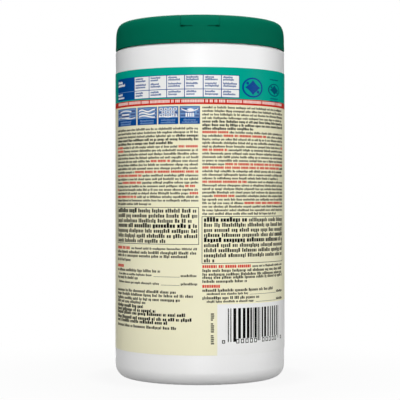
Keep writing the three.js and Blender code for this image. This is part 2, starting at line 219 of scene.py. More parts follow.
def set_values(node, **values):
    """Constants for a node's inputs. An underscore stands for a space in the name."""
    for name, value in values.items():
        node.inputs[name.replace("_", " ")].default_value = value


def grain_group():
    group = bpy.data.node_groups.new("moulded_surface", "ShaderNodeTree")
    sockets = [
        ("INPUT", "Color", ("Colour", "Shade")),
        ("INPUT", "Float", ("Mottle Scale", "Gloss Low", "Gloss High")),
        ("INPUT", "Float", ("Grain Scale", "Grain Depth")),
        ("OUTPUT", "Color", ("Colour",)), ("OUTPUT", "Float", ("Roughness",)),
        ("OUTPUT", "Vector", ("Normal",)),
    ]
    for side, kind, names in sockets:
        for name in names:
            group.interface.new_socket(name=name, in_out=side, socket_type="NodeSocket" + kind)
    nodes, links = group.nodes, group.links
    inputs, outputs = nodes.new("NodeGroupInput"), nodes.new("NodeGroupOutput")
    place = nodes.new("ShaderNodeTexCoord")

    mottle = nodes.new("ShaderNodeTexNoise")
    set_values(mottle, Detail=4)
    links.new(place.outputs["Object"], mottle.inputs["Vector"])
    links.new(inputs.outputs["Mottle Scale"], mottle.inputs["Scale"])
    blend = nodes.new("ShaderNodeMix")
    blend.data_type = "RGBA"
    links.new(mottle.outputs["Fac"], blend.inputs["Factor"])
    links.new(inputs.outputs["Colour"], blend.inputs["A"])
    links.new(inputs.outputs["Shade"], blend.inputs["B"])
    links.new(blend.outputs["Result"], outputs.inputs["Colour"])

    gloss = nodes.new("ShaderNodeMapRange")
    links.new(mottle.outputs["Fac"], gloss.inputs["Value"])
    links.new(inputs.outputs["Gloss Low"], gloss.inputs["To Min"])
    links.new(inputs.outputs["Gloss High"], gloss.inputs["To Max"])
    links.new(gloss.outputs["Result"], outputs.inputs["Roughness"])

    grain = nodes.new("ShaderNodeTexNoise")
    set_values(grain, Detail=2)
    links.new(place.outputs["Object"], grain.inputs["Vector"])
    links.new(inputs.outputs["Grain Scale"], grain.inputs["Scale"])
    bump = nodes.new("ShaderNodeBump")
    set_values(bump, Strength=GRAIN_STRENGTH)
    links.new(grain.outputs["Fac"], bump.inputs["Height"])
    links.new(inputs.outputs["Grain Depth"], bump.inputs["Distance"])
    links.new(bump.outputs["Normal"], outputs.inputs["Normal"])
    return group


MOULDED = grain_group()


# %% [markdown]
# Colours are written as the sRGB values that the surface shows in plain light, and turned
# into the linear values that the shader wants by the usual curve.

# %% Plastics
def linear(rgb):
    def straight(value):
        value /= 255
        return value / 12.92 if value <= 0.04045 else ((value + 0.055) / 1.055) ** 2.4

    return (*(straight(value) for value in rgb), 1)


def new_material(name):
    material = bpy.data.materials.new(name)
    material.use_nodes = True
    return material, material.node_tree.nodes, material.node_tree.links


def moulded(name, colour, gloss=(0.34, 0.42), mottle=30, depth=0.03, specular=0.5):
    """A Principled material over the shared group. Depth is in millimetres."""
    material, nodes, links = new_material(name)
    shader, surface = nodes["Principled BSDF"], nodes.new("ShaderNodeGroup")
    set_values(shader, Specular_IOR_Level=specular)
    surface.node_tree = MOULDED
    set_values(surface, Colour=linear(colour), Mottle_Scale=mottle,
               Shade=linear([value * MOTTLE_SHADE for value in colour]),
               Gloss_Low=gloss[0], Gloss_High=gloss[1],
               Grain_Scale=GRAIN_SCALE, Grain_Depth=depth * MM)
    for start, end in (("Colour", "Base Color"), ("Roughness", "Roughness"), ("Normal", "Normal")):
        links.new(surface.outputs[start], shader.inputs[end])
    return material


TUB_WHITE = moulded("tub_white", (247, 247, 247), gloss=(0.36, 0.46), mottle=22, depth=0.05)
CAP_GREEN = moulded("cap_green", (0, 104, 80), gloss=(0.54, 0.64), mottle=40, depth=0.035,
                    specular=0.02)

# %% [markdown]
# The film and its inks are printed and varnished together, so they share one gloss. It is
# weak, because the photograph's label hardly mirrors its lamps.

# %% Film and inks
def printed(name, colour, specular=0.04):
    return moulded(name, colour, gloss=(0.30, 0.36), depth=0.015, specular=specular)


FILM_CREAM = printed("film_cream", (245, 241, 209))
FILM_TEAL = printed("film_teal", (0, 166, 145), specular=0.02)
FILM_RED = printed("film_red", (208, 48, 34))
FILM_WHITE = printed("film_white", (244, 244, 243))
INK_NAVY = printed("ink_navy", (0, 72, 146))
INK_SLATE = printed("ink_slate", (70, 92, 146))
INK_MIST = printed("ink_mist", (114, 152, 200))
INK_DARK = printed("ink_dark", (12, 12, 10))
INK_SOFT = printed("ink_soft", (44, 42, 31))
INK_ROSE = printed("ink_rose", (216, 60, 44))
INK_PALE = printed("ink_pale", (252, 226, 218))
INK_TEAL = printed("ink_teal", (0, 84, 112))

# %% [markdown]
# ## The tub
#
# A blown tub has one thin wall. Its base domes up inside a narrow ring, which is what it
# stands on, and a flat shoulder leads in to a neck whose bead holds the closure. One
# closed half section, outside and inside, gives all of it in a single spin.

# %% Spin the tub
BASE_CORNER = (6.5, 7.85)
RING_OUTER = TUB_RADIUS - BASE_CORNER[0]
RING_INNER = RING_OUTER - 2
DOME = 4.0
SHOULDER_FILLET = 1.5
BEAD_HEIGHT = 1.8
BEAD_STANDOUT = 1.0
BEAD_LOW = SHOULDER + 4.2
NECK_FOOT = 0.5
LIP = 0.6


def dome(share, lift):
    return (RING_INNER * share, DOME * (1 - share ** 4) + lift)


def tub_section():
    shares = [i / 14 for i in range(15)]
    fillet_centre = (TUB_RADIUS - SHOULDER_FILLET, SHOULDER - SHOULDER_FILLET)
    outside = [dome(share, 0) for share in shares]
    outside += arc((RING_OUTER, BASE_CORNER[1]), BASE_CORNER, -90, 0, 16)
    outside += rounded(fillet_centre, SHOULDER_FILLET, 0, 90, 6)
    outside += rounded((NECK_RADIUS + NECK_FOOT, SHOULDER + NECK_FOOT), NECK_FOOT, 270, 180, 3)
    outside += arc((NECK_RADIUS, BEAD_LOW + BEAD_HEIGHT / 2), (BEAD_STANDOUT, BEAD_HEIGHT / 2),
                   -90, 90, 8)
    outside += rounded((NECK_RADIUS - LIP, NECK_TOP - LIP), LIP, 0, 90)
    inner = TUB_RADIUS - TUB_WALL
    inside = rounded((MOUTH_RADIUS + LIP, NECK_TOP - LIP), LIP, 90, 180)
    inside += [(MOUTH_RADIUS, SHOULDER - TUB_WALL)]
    inside += rounded((inner - 1, SHOULDER - TUB_WALL - 1), 1, 90, 0)
    inside += arc((RING_OUTER, BASE_CORNER[1]),
                  (BASE_CORNER[0] - TUB_WALL, BASE_CORNER[1] - TUB_WALL), 0, -90, 8)
    inside += [dome(share, TUB_WALL) for share in reversed(shares)]
    return outside + inside


finish_piece(new_object("tub", spun(tub_section()), [TUB_WHITE]),
             "tub", "canister")

# %% [markdown]
# The tub is blown in a mould of two halves, and these leave a faint line up each side,
# which the label covers for most of its way. A narrow raised strip, sunk into the wall, is
# enough, because the real line stands up by less than a tenth of a millimetre.

# %% Parting line
LINE_WIDTH = 0.35
LINE_STANDOUT = 0.07
LINE_DEPTH = 0.3


def swept(bm, edges, move):
    """Extrudes the edges by a move in millimetres. Returns the new vertices."""
    made = bmesh.ops.extrude_edge_only(bm, edges=edges)["geom"]
    verts = [v for v in made if isinstance(v, bmesh.types.BMVert)]
    bmesh.ops.translate(bm, verts=verts, vec=Vector(move) * MM)
    return verts


def parting_line():
    bm = bmesh.new()
    radius = TUB_RADIUS + LINE_STANDOUT
    lower = arc((RING_OUTER, BASE_CORNER[1]), (BASE_CORNER[0] + LINE_STANDOUT, BASE_CORNER[1]),
                -60, 0, 12)
    lower += [(radius, LABEL_BOTTOM - 0.3)]
    upper = [(radius, LABEL_TOP + 0.3), (radius, SHOULDER - SHOULDER_FILLET)]
    for points in (lower, upper):
        for side in (1, -1):
            edges = chain(bm, [(side * r, -LINE_WIDTH / 2, z) for r, z in points])[1]
            swept(bm, edges, (0, LINE_WIDTH, 0))
    bmesh.ops.solidify(bm, geom=bm.faces[:], thickness=LINE_DEPTH * MM)
    bmesh.ops.recalc_face_normals(bm, faces=bm.faces[:])
    return bm


finish_piece(new_object("parting_lines", parting_line(), [TUB_WHITE]), "tub")

# %% [markdown]
# ## The label
#
# The label is one film, printed in flat fields: a teal band, a red stripe and a cream
# ground. Where a boundary between two fields runs right round, a row of faces ends there
# and takes the next material, so the edge stays crisp however close the view comes.

# %% Spin the film and colour its rows
BAND_HEIGHT = 18.4
STRIPE_HEIGHT = 3.3
BAND_BOTTOM = LABEL_TOP - BAND_HEIGHT
STRIPE_BOTTOM = BAND_BOTTOM - STRIPE_HEIGHT
FILM_THICKNESS = 0.25
FILM_EDGE = 0.05


def film():
    inner = LABEL_RADIUS - FILM_THICKNESS
    levels = [LABEL_BOTTOM + FILM_EDGE, STRIPE_BOTTOM, BAND_BOTTOM, LABEL_TOP - FILM_EDGE]
    section = [(inner, LABEL_BOTTOM), (LABEL_RADIUS - FILM_EDGE, LABEL_BOTTOM)]
    section += [(LABEL_RADIUS, level) for level in levels]
    section += [(LABEL_RADIUS - FILM_EDGE, LABEL_TOP), (inner, LABEL_TOP)]
    bm = spun(section)
    for face in bm.faces:
        middle = face.calc_center_median() / MM
        if middle.z > BAND_BOTTOM:
            face.material_index = 1
        elif middle.z > STRIPE_BOTTOM and middle.xy.length > inner + 0.1:
            face.material_index = 2
    return bm


finish_piece(new_object("label_film", film(), [FILM_CREAM, FILM_TEAL, FILM_RED]),
             "tub", "label")

# %% [markdown]
# The rest of the print is laid out flat, the way a printer makes it, and wrapped round the
# tub as it is made. The first direction is the distance round from the middle of the back
# panel, the second is the height above the base, and a layer says how far the ink stands
# off the film. Each printed shape is a thin closed slab with a station at every facet of
# the film, so it lies flat on them. No layer shares a face with the one under it.

# %% Slabs of ink
SUNK = -0.08
LAYER = 0.02
FACET = 2 * math.pi * LABEL_RADIUS / TURN


class Print:
    """Thin slabs of one ink, laid out in millimetres and wrapped round the tub."""

    def __init__(self, name, material):
        self.name = name
        self.material = material
        self.bm = bmesh.new()

    def slab(self, columns, layer):
        """Closed slab through columns, each [across, low, high]."""
        top = LAYER * layer
        rows = []
        for across, low, high in columns:
            corners = ((low, SUNK), (high, SUNK), (high, top), (low, top))
            angle = across / LABEL_RADIUS
            rows.append([self.bm.verts.new(Vector((
                (LABEL_RADIUS + lift) * math.sin(angle), -(LABEL_RADIUS + lift) * math.cos(angle),
                height)) * MM) for height, lift in corners])
        for row, following in zip(rows, rows[1:]):
            for i in range(4):
                j = (i + 1) % 4
                self.bm.faces.new((row[i], following[i], following[j], row[j]))
        self.bm.faces.new(rows[0])
        self.bm.faces.new(reversed(rows[-1]))

    def bar(self, left, right, low, high, layer=1):
        first, last = math.floor(left / FACET) + 1, math.ceil(right / FACET)
        stations = [left, *(FACET * i for i in range(first, last)), right]
        self.slab([(across, low, high) for across in stations], layer)

    def disc(self, centre, radii, layer=1, steps=20, power=2):
        """An ellipse, or with another power a rounder or a more pointed form."""
        columns = []
        for i in range(1, steps):
            share = -math.cos(math.pi * i / steps)
            half = radii[1] * (1 - abs(share) ** power) ** (1 / power)
            columns.append((centre[0] + radii[0] * share, centre[1] - half, centre[1] + half))
        self.slab(columns, layer)

    def frame(self, left, right, low, high, line, layer=1):
        self.bar(left, right, low, low + line, layer)
        self.bar(left, right, high - line, high, layer)
        self.bar(left, left + line, low + line, high - line, layer)
        self.bar(right - line, right, low + line, high - line, layer)

    def finish(self):
        bmesh.ops.recalc_face_normals(self.bm, faces=self.bm.faces[:])
        finish_piece(new_object(self.name, self.bm, [self.material]), "tub")


inks = {
    "soft": Print("print_small_text", INK_SOFT),
    "dark": Print("print_bold_text", INK_DARK),
    "rose": Print("print_red_text", INK_ROSE),
    "navy": Print("print_navy", INK_NAVY),
    "white": Print("print_white", FILM_WHITE),
    "slate": Print("print_slate", INK_SLATE),
    "mist": Print("print_mist", INK_MIST),
    "pale": Print("print_stripe_text", INK_PALE),
    "teal": Print("print_sea_marks", INK_TEAL),
}

# %% [markdown]
# Words are only greeked: each letter is a small block, some with the height of an ascender
# or the depth of a descender, so a line has the grain of type and says nothing. Red and
# pale words are set in capitals, and dark ones are bold. Word lengths are drawn from a
# fixed seed, so the page looks set and not ruled, and every run of the script sets it the
# same way. The sizes of a letter are shares of the height of the type.

# %% Set words
type_case = random.Random(11)
LETTER = (0.43, 0.7)
BOLD_LETTER = (0.7, 0.95)
BOLD_HEIGHT = 1.14
LETTER_GAP = 0.22
WORD_GAP = 0.62
SMALLEST_LETTER = 0.3
ASCENDERS = 0.26
RISE = 0.36
DESCENDERS = 0.9
DROP = 0.22
CAPITAL = 1.35


def set_word(ink, left, low, height, reach, layer=1):
    """Letter blocks from left for at most this reach. Returns where the word ends."""
    at = left
    capitals = ink in ("rose", "pale")
    while at < left + reach - SMALLEST_LETTER * height:
        letter = BOLD_LETTER if ink in ("dark", "rose") else LETTER
        wide = min(height * type_case.uniform(*letter), left + reach - at)
        kind = type_case.random()
        weight = BOLD_HEIGHT if ink == "dark" else 1
        rise = CAPITAL if capitals else 1 + RISE if kind < ASCENDERS else 1
        top = low + weight * height * rise
        foot = low - height * (DROP if kind > DESCENDERS and not capitals else 0)
        inks[ink].bar(at, at + wide, foot, top, layer)
        at += wide + LETTER_GAP * height
    return at


# %% [markdown]
# The columns are set to an even width, so the last word of a line is cut to end at the
# column's edge.

# %% Set lines
SHORTEST_WORD = 1.2
SHORTEST_END = 1.3
LEFTOVER = 0.8


def set_text(left, width, top, runs, pitch=2.095, height=0.98, longest=9):
    """Fills lines with words. A run is an ink and its length in lines; None ends a line."""
    at, line = left, 0
    for run in runs:
        if run is None:
            at, line = left, line + 1
            continue
        ink, rest = run[0], run[1] * width
        while rest > LEFTOVER:
            word = min(type_case.uniform(SHORTEST_WORD, longest) * height, rest)
            room = left + width - at
            if room < SHORTEST_END * height:
                rest -= max(room, 0)
                at, line = left, line + 1
                continue
            if word > room - SHORTEST_END * height and rest > room:
                word = room
            end = set_word(ink, at, top - line * pitch - height / 2, height, word)
            rest -= end + WORD_GAP * height - at
            at = end + WORD_GAP * height
    return top - (line + 1) * pitch


# %% [markdown]
# The two columns are long paragraphs, each given as the runs of ink that it's made of.

# %% Two columns of small print
COLUMN = 64.5
LEFT_COLUMN = -65.5
RIGHT_COLUMN = 1.4
left_top = STRIPE_BOTTOM - 14.1
set_text(LEFT_COLUMN, COLUMN, left_top, [
    ("soft", 2.8), ("dark", 2.0), None, ("rose", 0.13), ("soft", 0.67), ("rose", 0.33),
    ("soft", 3.4), ("rose", 0.2), ("soft", 2.6), ("rose", 1.1), ("soft", 1.7), ("rose", 0.3),
    ("soft", 1.45), ("rose", 0.15), ("soft", 1.9), ("rose", 0.45), ("soft", 2.2),
])
right_top = STRIPE_BOTTOM - 1.9
set_text(RIGHT_COLUMN, COLUMN, right_top, [
    ("soft", 4.0), ("dark", 2.55), None, ("rose", 0.24), ("soft", 0.95), ("rose", 0.48),
    ("soft", 3.3), ("rose", 0.28), ("soft", 4.0), ("rose", 1.7), ("soft", 3.0), None,
    ("rose", 0.43), ("soft", 3.7), ("rose", 0.2), ("soft", 2.1), ("rose", 0.55), ("soft", 2.9),
], pitch=2.06)
print("columns set from", round(left_top, 1), "and", round(right_top, 1))

# %% [markdown]
# Below the columns each side has a ruled box in larger type, and under it short notes. An
# entry in a list is indented and ends in a rule and a short word.

# %% Ruled boxes and notes
BOX_LINE = 0.32
BOX_MARGIN = 0.4
BOX_INDENT = 0.9
BOX_TYPE = 1.7
NOTE_TYPE = 1.25
ENTRY_INDENT = 2.5
RULE_END = 0.83
RULE_GAP = 0.01
RULE_LINE = 0.2


def ruled_box(left, low, high, first, lines, pitch, runs):
    """A frame round lines of larger type, the first of them at this height."""
    inks["dark"].frame(left - BOX_MARGIN, left + COLUMN + BOX_MARGIN, low, high, BOX_LINE)
    after = set_text(left + BOX_INDENT, COLUMN - 1.5, first, runs, pitch, BOX_TYPE)
    print("box of", round((first - after) / pitch), "lines, wanted", lines)


def contents_entry(left, height, reach):
    """An indented line, this share of the column long, with a rule and a short word."""
    set_text(left + ENTRY_INDENT, COLUMN, height, [("soft", reach - 0.05)])
    rule = height - 0.7
    inks["soft"].bar(left + (reach + RULE_GAP) * COLUMN, left + RULE_END * COLUMN,
                     rule, rule + RULE_LINE)
    set_word("soft", left + (RULE_END + RULE_GAP) * COLUMN, height - 0.5, 1.1, 0.15 * COLUMN)


def notes(left, entries, height=NOTE_TYPE):
    """Single lines, each [height, ink, length as a share of the column]."""
    for middle, ink, share in entries:
        set_text(left, COLUMN * 1.2, middle, [(ink, share / 1.2)], height=height)


ruled_box(LEFT_COLUMN, 82.4, 104.2, 101.9, 7, 2.96, [
    ("dark", 0.36), ("soft", 2.6), ("dark", 0.97), ("soft", 2.8)])
notes(LEFT_COLUMN, [(79.7, "rose", 0.27), (77.3, "soft", 0.98), (75.2, "soft", 0.9),
                    (72.6, "soft", 0.3), (68.8, "rose", 0.17), (66.5, "soft", 0.64),
                    (62.0, "soft", 0.38)])
set_text(LEFT_COLUMN + 0.29 * COLUMN, COLUMN, 79.7, [("soft", 0.7)])
contents_entry(LEFT_COLUMN, 64.1, 0.56)
contents_entry(LEFT_COLUMN, 59.3, 0.64)
notes(LEFT_COLUMN, [(54.4, "soft", 0.8), (52.2, "soft", 0.96), (49.8, "soft", 0.84),
                    (47.7, "soft", 0.5)])
notes(LEFT_COLUMN, [(45.2, "dark", 0.47), (42.9, "dark", 0.59), (41.0, "dark", 0.88),
                    (38.3, "dark", 0.94), (36.2, "dark", 0.71), (33.4, "soft", 0.82)], 1.3)

ruled_box(RIGHT_COLUMN, 71.4, 98.9, 96.6, 9, 2.95, [
    ("dark", 0.43), ("soft", 3.4), ("dark", 1.15), ("soft", 3.2)])
notes(RIGHT_COLUMN, [(69.5, "rose", 0.47), (67.2, "soft", 0.99), (65.0, "soft", 0.97),
                     (63.2, "soft", 0.99), (60.9, "soft", 0.44), (58.0, "rose", 0.18),
                     (55.7, "soft", 0.79), (51.3, "soft", 0.57)])
set_text(RIGHT_COLUMN + 0.49 * COLUMN, COLUMN, 69.5, [("soft", 0.49)])
contents_entry(RIGHT_COLUMN, 53.7, 0.45)
contents_entry(RIGHT_COLUMN, 49.2, 0.52)

# %% [markdown]
# The teal band carries a small table, and the stripe one long line of pale words. The
# table is a navy field with white cells laid over it, and their words lie over the cells.

# %% Table and stripe
TABLE_LOW = BAND_BOTTOM + 0.7
TABLE_HIGH = LABEL_TOP - 4.4
TABLE_SPLIT = TABLE_LOW + 4.9
TABLE_LEFT = -65.3
CELL_EDGES = (-43.8, -31.8, -19.9, -9.05, 1.85, 12.6, 23.8)
CELL_LINE = 0.5
CELL_INDENT = 1.1
LOWER_LINES = (3.0, 1.5)
UPPER_LINES = (11.4, 10.0, 7.7, 6.3)


def small_lines(ink, left, width, lifts, size=0.85):
    """Short lines of type, each this far above the table's lower edge."""
    for lift in lifts:
        set_word(ink, left, TABLE_LOW + lift, size, width * type_case.uniform(0.5, 0.95), 3)


inks["navy"].bar(TABLE_LEFT, CELL_EDGES[-1] + CELL_LINE / 2, TABLE_LOW, TABLE_HIGH)
for left, right in zip(CELL_EDGES, CELL_EDGES[1:]):
    edges = (left + CELL_LINE / 2, right - CELL_LINE / 2)
    inks["white"].bar(*edges, TABLE_LOW + 0.35, TABLE_SPLIT - 0.2, 2)
    inks["white"].bar(*edges, TABLE_SPLIT + 0.2, TABLE_HIGH - 0.35, 2)
    small_lines("navy", left + CELL_INDENT, right - left - 2, LOWER_LINES + UPPER_LINES)
small_lines("white", TABLE_LEFT + 0.9, 12, (10.3, 8.5), 1.1)
small_lines("white", TABLE_LEFT + 0.9, 14, (2.9, 1.1), 1.0)
inks["mist"].bar(TABLE_LEFT, CELL_EDGES[0], TABLE_SPLIT - 0.15, TABLE_SPLIT + 0.15, 2)
set_text(-64.5, 131, STRIPE_BOTTOM + 1.75, [("pale", 0.99)], height=1.2, longest=12)

# %% [markdown]
# Two round marks stand beside the table. They are plain drawings: a ring round a
# four-pointed sparkle with a heavier middle and a dot on each side. A field of the band's
# own teal lies over the disc of ink and leaves the ring. Short words stand over and under
# the smaller mark.

# %% Round marks
MARK_HEIGHT = TABLE_LOW + 6.5
SMALL_MARK = 53.3
RING_INSIDE = 0.84
SPARKLE = 0.76
SPARKLE_POWER = 0.85
fields = Print("print_mark_fields", FILM_TEAL)
for ink, centre, radii in (("navy", (33.4, MARK_HEIGHT), (7.8, 5.9)),
                           ("teal", (SMALL_MARK, MARK_HEIGHT - 0.4), (7.0, 3.8))):
    wide, tall = radii
    inks[ink].disc(centre, radii)
    fields.disc(centre, (wide * RING_INSIDE, tall * RING_INSIDE), 2)
    inks[ink].disc(centre, (wide * SPARKLE, tall * SPARKLE), 3, power=SPARKLE_POWER)
    inks[ink].disc((centre[0] + wide * 0.1, centre[1] - tall * 0.1), (wide * 0.34, tall * 0.38), 4)
    for side in (-1, 1):
        inks[ink].disc((centre[0] + side * wide * 0.5, centre[1] - side * tall * 0.42),
                       (wide * 0.13, tall * 0.16), 3)
for offset, reach in ((5.4, 5.2), (-5.9, 4.6), (-7.4, 5.6)):
    set_word("teal", SMALL_MARK - reach, MARK_HEIGHT + offset, 0.55, 2 * reach)
fields.finish()

# %% [markdown]
# Four small pictures under the stripe show how the tub is used: open it, draw a wipe, wipe
# a surface, throw the wipe away. The printer spaced them evenly as seen from straight
# ahead, so their edges come from an arcsine of even steps. A picture is drawn in shares of
# its width and in millimetres above its floor, and two tones of blue shade its ground.

# %% Four step pictures
STEP_TOP = STRIPE_BOTTOM - 1.0
STEP_HEIGHT = 10.4
STEP_BOTTOM = STEP_TOP - STEP_HEIGHT
STEP_LINE = 0.3
CAPTION = 3.7
STEP_HALF = 49.6
STEP_GUTTER = 0.7
STEP_PITCH = (STEP_HALF + STEP_GUTTER) / 4


def around(across):
    """Distance round to a point that lies this far across, seen from straight ahead."""
    return LABEL_RADIUS * math.asin(across / LABEL_RADIUS)


def ribbon(ink, at, height, thick, swing=0.0, waves=1.0, reach=0.46, steps=16):
    """A wavy band across a picture, whose middle swings this far from its height."""
    columns = []
    for i in range(steps + 1):
        middle = height + swing * math.sin(math.pi * waves * i / steps)
        columns.append((at(reach * (2 * i / steps - 1)), middle - thick / 2, middle + thick / 2))
    inks[ink].slab(columns, 3)


def open_tub(at, floor):
    ribbon("white", at, floor + 1.0, 0.5, 0.5, 2)
    inks["white"].bar(at(-0.2), at(0.2), floor + 0.9, floor + 3.7, 3.5)
    inks["slate"].bar(at(-0.2), at(0.2), floor + 1.5, floor + 2.6, 4)
    inks["navy"].bar(at(-0.22), at(0.22), floor + 3.6, floor + 4.2, 4)
    ribbon("white", at, floor + 4.6, 0.7, 0.7, 1, 0.3)


def drawn_wipe(at, floor):
    for row in range(3):
        ribbon("white", at, floor + 1.2 + 1.7 * row, 0.85, 0.55, 1.6 + 0.5 * row, 0.4)
        ribbon("slate", at, floor + 1.9 + 1.7 * row, 0.25, 0.55, 1.6 + 0.5 * row, 0.36)


def bubbles(at, floor):
    ribbon("white", at, floor + 0.8, 0.7, 0.2, 3)
    for row in range(3):
        for i in range(4 - row % 2):
            share = (i - 1.5 + 0.5 * (row % 2)) * 0.23
            place = (at(share), floor + 1.6 + 1.75 * row)
            inks["white"].disc(place, (at(0.095) - at(0), 0.85), 3.5, 10)
            inks["slate"].disc(place, (at(0.05) - at(0), 0.45), 4, 8)


def bin_and_wipe(at, floor):
    ribbon("white", at, floor + 5.2, 0.6, -1.6, 1, 0.42)
    for i in range(4):
        inks["white"].bar(at(-0.2 + 0.11 * i), at(-0.13 + 0.11 * i), floor + 0.5, floor + 2.8, 3.5)
    inks["navy"].bar(at(-0.26), at(0.26), floor + 2.8, floor + 3.3, 4)
    inks["white"].disc((at(0.04), floor + 4.6), (at(0.17) - at(0), 0.9), 4, power=1.3)


for step, picture in enumerate((open_tub, drawn_wipe, bubbles, bin_and_wipe)):
    left = around(-STEP_HALF + step * STEP_PITCH)
    right = around(-STEP_HALF + (step + 1) * STEP_PITCH - STEP_GUTTER)
    floor = STEP_BOTTOM + CAPTION

    def at(share, middle=(left + right) / 2, width=right - left):
        return middle + share * width

    inks["navy"].bar(left, right, STEP_BOTTOM, STEP_TOP)
    inks["mist"].bar(left + STEP_LINE, right - STEP_LINE, floor, STEP_TOP - STEP_LINE, 2)
    for row in range(3):
        reach = type_case.uniform(0.2, 0.4)
        shade = floor + 0.9 + 1.9 * row
        inks["slate"].bar(at(-0.46), at(reach - 0.46), shade, shade + 0.9, 2.5)
        inks["slate"].bar(at(0.46 - reach / 2), at(0.46), shade - 0.4, shade + 0.8, 2.5)
    picture(at, floor)
    for height in (STEP_BOTTOM + 0.6, STEP_BOTTOM + 2.0):
        reach = type_case.uniform(0.24, 0.38)
        set_word("mist", at(-reach), height, 0.75, at(reach) - at(-reach), 3)

# %% [markdown]
# The code panel is a white field with bars that encode nothing: their widths come from the
# same seeded draw. The bars at both ends and in the middle are longer, and a row of open
# boxes stands between them. A column of small strokes runs up beside the panel.

# %% Code panel
PANEL = (10.1, 84.0, LABEL_BOTTOM - 0.01, LABEL_BOTTOM + 29.7)
BARS = (16.5, 59.3)
BAR_TOP = LABEL_BOTTOM + 27.2
BAR_FOOT = LABEL_BOTTOM + 9.4
GUARD_FOOT = LABEL_BOTTOM + 7.6
MODULE = 0.62
BOX_PITCH = 3.15
BOX_WIDTH = 2.1
STROKE_PITCH = 1.15

inks["white"].bar(*PANEL)
at, bars = BARS[0], 0
while at < BARS[1]:
    wide = MODULE * type_case.choice((1, 1.5, 2, 3))
    share = (at - BARS[0]) / (BARS[1] - BARS[0])
    guard = share < 0.08 or share > 0.93 or abs(share - 0.5) < 0.03
    inks["dark"].bar(at, at + wide, GUARD_FOOT if guard else BAR_FOOT, BAR_TOP, 2)
    at += wide + MODULE * type_case.choice((1, 1.5, 2, 2))
    bars += 1
print(bars, "bars")
for start in (BARS[0] + 5.2, BARS[0] + 24.2):
    for i in range(5):
        left = start + BOX_PITCH * i
        inks["dark"].frame(left, left + BOX_WIDTH, GUARD_FOOT - 1.0, GUARD_FOOT + 1.6, 0.5, 2)
for left in (BARS[0] - 3.6, BARS[1] + 2.2):
    inks["dark"].frame(left, left + 1.9, GUARD_FOOT - 0.8, GUARD_FOOT + 1.2, 0.5, 2)
for row in range(16):
    low = LABEL_BOTTOM + 6.5 + STROKE_PITCH * row
    if row % 6 != 5:
        inks["soft"].bar(6.3, 6.3 + type_case.uniform(1.2, 2.0), low, low + 0.75)

# %% [markdown]
# Each ink is one mesh with all of its slabs in it, and now becomes a piece of the tub.

# %% Finish every ink
for ink in inks.values():
    ink.finish()

# %% [markdown]
# ## The closure
#
# The closure's shoulder isn't a plain quarter round: it is fuller, like the corner of a
# superellipse. One function gives that skin at any depth below the surface, and the shell,
# the hinge's pocket, the lid's leaf and the tab's seat are all cut with it, so their walls
# stay even. A solid tool starts below the cap, and one that hollows it starts lower still.

# %% The cap's skin
SKIN_POWER = 3.33
SOLID_FOOT = CAP_BOTTOM - 1
HOLLOW_FOOT = CAP_BOTTOM - 3


def skin(inset, bottom, steps=22):
    """Profile of the cap's outside, this far in, from the skirt's foot up over the shoulder to the
    top.
    """
    run, rise = CAP_SHOULDER_RUN - inset, CAP_SHOULDER_RISE - inset
    centre = (CAP_RADIUS - CAP_SHOULDER_RUN, CAP_TOP - CAP_SHOULDER_RISE)
    points = [(SKIRT_RADIUS - inset, bottom)]
    for i in range(steps + 1):
        angle = math.pi / 2 * i / steps
        across = max(math.cos(angle), 0) ** (2 / SKIN_POWER)
        up = math.sin(angle) ** (2 / SKIN_POWER)
        points.append((centre[0] + run * across, centre[1] + rise * up))
    return points


def skin_tool(inset, bottom):
    points = skin(inset, bottom)
    return spun_tool([(0, bottom)] + points + [(0, points[-1][1])])


def skin_band(outer, inner, low, high):
    """What lies between two depths of the skin, inside a box."""
    band = combine(skin_tool(outer, SOLID_FOOT), skin_tool(inner, HOLLOW_FOOT), "DIFFERENCE")
    return combine(band, box_tool(low, high), "INTERSECT")


# %% [markdown]
# The closed section of the closure runs from the dispensing floor out through the well,
# deck and recess to the skin, down the skirt and back up inside. The plug ring that wipes
# the mouth, the land that meets the neck's top and the six gripping lugs are joined on
# after. The lugs are what three crossed bars leave of a hoop.

# %% Closure section, rings and lugs
WELL_TOP = 26.8
WELL_FLOOR_RADIUS = 20.5
WELL_FLOOR = DECK - 10.8
WELL_WALL = 1.3
DECK_WALL = 1.4
PETAL_REACH = 10.0
PETAL_RISE = 1.2
FLIP_GAP = 0.35
LID_WALL = 1.4
TOP_FILLET = 0.4
DECK_FILLET = 0.5
WELL_LIP = 0.8
WELL_FILLET = 1.2


